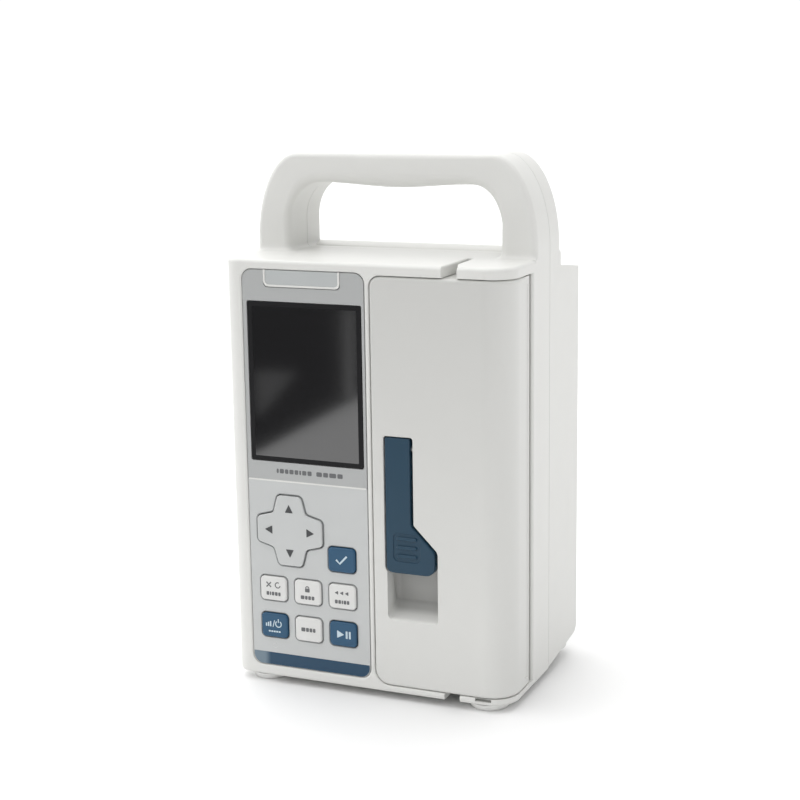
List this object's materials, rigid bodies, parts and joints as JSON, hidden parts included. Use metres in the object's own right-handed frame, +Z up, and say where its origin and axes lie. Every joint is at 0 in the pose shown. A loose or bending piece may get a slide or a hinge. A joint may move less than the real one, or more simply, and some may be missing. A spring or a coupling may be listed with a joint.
{
  "type": "infusion pump",
  "caption": "Portable infusion pump with a carrying handle, display, keypad, side-hinged pump door with a latch lever, and a rear pole clamp.",
  "frame": {"origin": "middle of the footprint of the whole part, on the plane that the feet stand on", "axes": "+Z up, -Y towards the user (display, keys and door), +X towards the pump door"},
  "size_m": [0.14, 0.1488, 0.2488],
  "materials": {
    "casing": "moulded warm white, fine satin texture",
    "panel_film": "light grey printed film, satin",
    "window": "near-black clear window over the display",
    "lens": "milky translucent lens",
    "blue_plastic": "dark teal blue, semi-gloss",
    "white_key": "white, satin",
    "silicone": "soft grey silicone",
    "board": "green solder mask",
    "moulding": "light grey engineering plastic",
    "dark_plastic": "black, satin",
    "steel": "bright, machined",
    "brass": "machined",
    "belt": "black belt",
    "motor_can": "black lacquered can",
    "battery_wrap": "blue shrink wrap",
    "foot_rubber": "grey rubber",
    "clamp_metal": "powder-coated light grey casting"
  },
  "bodies": {
    "chassis": {"front_housing": "casing", "rear_housing": "casing", "control_panel": "panel_film", "lcd_window": "window", "lcd_module": "dark_plastic", "alarm_lens": "lens", "keypad_mat": "silicone", "main_board": "board", "hinge_pin_top": "steel", "hinge_pin_bottom": "steel", "strike_plate": "steel", "pump_frame": "moulding", "bearing_bottom": "steel", "bearing_top": "steel", "drive_belt": "belt", "stepper_motor": "motor_can", "bubble_sensor": "dark_plastic", "pressure_sensor": "steel", "battery_pack": "battery_wrap", "battery_cover": "casing", "power_inlet": "dark_plastic", "power_board": "board", "speaker": "dark_plastic", "foot_front_left": "foot_rubber", "foot_front_right": "foot_rubber", "foot_rear_left": "foot_rubber", "foot_rear_right": "foot_rubber", "clamp_body": "clamp_metal"},
    "door": {"door_shell": "casing", "door_liner": "moulding", "lever_pin": "steel", "platen_spring_lower": "steel", "platen_spring_upper": "steel"},
    "lever": {"latch_lever": "blue_plastic"},
    "latch": {"latch_bar": "steel"},
    "platen": {"platen": "steel"},
    "pad_pivot": {"dpad_pivot": "moulding"},
    "pad": {"dpad": "panel_film"},
    "key_power": {"key_power": "blue_plastic"},
    "key_mode": {"key_mode": "white_key"},
    "key_start": {"key_start": "blue_plastic"},
    "key_clear": {"key_clear": "white_key"},
    "key_menu": {"key_menu": "white_key"},
    "key_bolus": {"key_bolus": "white_key"},
    "key_enter": {"key_enter": "blue_plastic"},
    "finger_1": {"finger_1": "white_key"},
    "finger_2": {"finger_2": "white_key"},
    "finger_3": {"finger_3": "white_key"},
    "finger_4": {"finger_4": "white_key"},
    "finger_5": {"finger_5": "white_key"},
    "finger_6": {"finger_6": "white_key"},
    "finger_7": {"finger_7": "white_key"},
    "finger_8": {"finger_8": "white_key"},
    "camshaft": {"camshaft": "brass", "cam_pulley": "moulding"},
    "motor_rotor": {"motor_pulley": "brass", "motor_shaft": "steel"},
    "jaw": {"clamp_jaw": "dark_plastic"},
    "clamp_handle": {"clamp_screw": "steel", "clamp_knob": "dark_plastic"}
  },
  "joints": [
    {"name": "door_hinge", "type": "hinge", "parent": "chassis", "child": "door", "pos_m": [0.067, -0.0479, 0.102], "axis": [0, 0, 1], "range_deg": [0, 105]},
    {"name": "lever_hinge", "type": "hinge", "parent": "door", "child": "lever", "pos_m": [0.0164, -0.0704, 0.1195], "axis": [-1, 0, 0], "range_deg": [0, 60], "stiffness_Nm_per_rad": 0.05, "springref_deg": -11.46},
    {"name": "latch_slide", "type": "slide", "parent": "door", "child": "latch", "axis": [0, 0, -1], "range_m": [0, 0.005]},
    {"name": "platen_slide", "type": "slide", "parent": "door", "child": "platen", "axis": [0, -1, 0], "range_m": [0, 0.0015], "stiffness_N_per_m": 2000, "springref_m": -0.001},
    {"name": "pad_tilt_up_down", "type": "hinge", "parent": "chassis", "child": "pad_pivot", "pos_m": [-0.0388, -0.0684, 0.076], "axis": [1, 0, 0], "range_deg": [-3, 3], "stiffness_Nm_per_rad": 0.6},
    {"name": "pad_tilt_left_right", "type": "hinge", "parent": "pad_pivot", "child": "pad", "pos_m": [-0.0388, -0.0698, 0.076], "axis": [0, 0, 1], "range_deg": [-3, 3], "stiffness_Nm_per_rad": 0.6},
    {"name": "key_power_press", "type": "slide", "parent": "chassis", "child": "key_power", "axis": [0, 1, 0], "range_m": [0, 0.0006], "stiffness_N_per_m": 1500, "springref_m": -0.0002},
    {"name": "key_mode_press", "type": "slide", "parent": "chassis", "child": "key_mode", "axis": [0, 1, 0], "range_m": [0, 0.0006], "stiffness_N_per_m": 1500, "springref_m": -0.0002},
    {"name": "key_start_press", "type": "slide", "parent": "chassis", "child": "key_start", "axis": [0, 1, 0], "range_m": [0, 0.0006], "stiffness_N_per_m": 1500, "springref_m": -0.0002},
    {"name": "key_clear_press", "type": "slide", "parent": "chassis", "child": "key_clear", "axis": [0, 1, 0], "range_m": [0, 0.0006], "stiffness_N_per_m": 1500, "springref_m": -0.0002},
    {"name": "key_menu_press", "type": "slide", "parent": "chassis", "child": "key_menu", "axis": [0, 1, 0], "range_m": [0, 0.0006], "stiffness_N_per_m": 1500, "springref_m": -0.0002},
    {"name": "key_bolus_press", "type": "slide", "parent": "chassis", "child": "key_bolus", "axis": [0, 1, 0], "range_m": [0, 0.0006], "stiffness_N_per_m": 1500, "springref_m": -0.0002},
    {"name": "key_enter_press", "type": "slide", "parent": "chassis", "child": "key_enter", "axis": [0, 1, 0], "range_m": [0, 0.0006], "stiffness_N_per_m": 1500, "springref_m": -0.0002},
    {"name": "finger_1_stroke", "type": "slide", "parent": "chassis", "child": "finger_1", "axis": [0, -1, 0], "range_m": [0, 0.0016], "stiffness_N_per_m": 500, "springref_m": -0.0004},
    {"name": "finger_2_stroke", "type": "slide", "parent": "chassis", "child": "finger_2", "axis": [0, -1, 0], "range_m": [0, 0.0016], "stiffness_N_per_m": 500, "springref_m": -0.0004},
    {"name": "finger_3_stroke", "type": "slide", "parent": "chassis", "child": "finger_3", "axis": [0, -1, 0], "range_m": [0, 0.0016], "stiffness_N_per_m": 500, "springref_m": -0.0004},
    {"name": "finger_4_stroke", "type": "slide", "parent": "chassis", "child": "finger_4", "axis": [0, -1, 0], "range_m": [0, 0.0016], "stiffness_N_per_m": 500, "springref_m": -0.0004},
    {"name": "finger_5_stroke", "type": "slide", "parent": "chassis", "child": "finger_5", "axis": [0, -1, 0], "range_m": [0, 0.0016], "stiffness_N_per_m": 500, "springref_m": -0.0004},
    {"name": "finger_6_stroke", "type": "slide", "parent": "chassis", "child": "finger_6", "axis": [0, -1, 0], "range_m": [0, 0.0016], "stiffness_N_per_m": 500, "springref_m": -0.0004},
    {"name": "finger_7_stroke", "type": "slide", "parent": "chassis", "child": "finger_7", "axis": [0, -1, 0], "range_m": [0, 0.0016], "stiffness_N_per_m": 500, "springref_m": -0.0004},
    {"name": "finger_8_stroke", "type": "slide", "parent": "chassis", "child": "finger_8", "axis": [0, -1, 0], "range_m": [0, 0.0016], "stiffness_N_per_m": 500, "springref_m": -0.0004},
    {"name": "cam_spin", "type": "hinge", "parent": "chassis", "child": "camshaft", "pos_m": [0.0396, -0.0116, 0.1035], "axis": [0, 0, 1], "continuous": true},
    {"name": "motor_spin", "type": "hinge", "parent": "chassis", "child": "motor_rotor", "pos_m": [-0.002, 0.0019, 0.1535], "axis": [0, 0, 1], "continuous": true},
    {"name": "clamp_travel", "type": "slide", "parent": "chassis", "child": "jaw", "axis": [1, 0, 0], "range_m": [0, 0.02]},
    {"name": "clamp_turn", "type": "hinge", "parent": "jaw", "child": "clamp_handle", "pos_m": [-0.04, 0.0564, 0.1135], "axis": [1, 0, 0], "range_deg": [0, 2400]}
  ],
  "couplings": [
    {"joint": "lever_hinge", "follows": "latch_slide", "rad_per_m": 209.42},
    {"joint": "motor_spin", "follows": "cam_spin", "ratio": 2},
    {"joint": "clamp_turn", "follows": "clamp_travel", "rad_per_m": 2094.3}
  ]
}
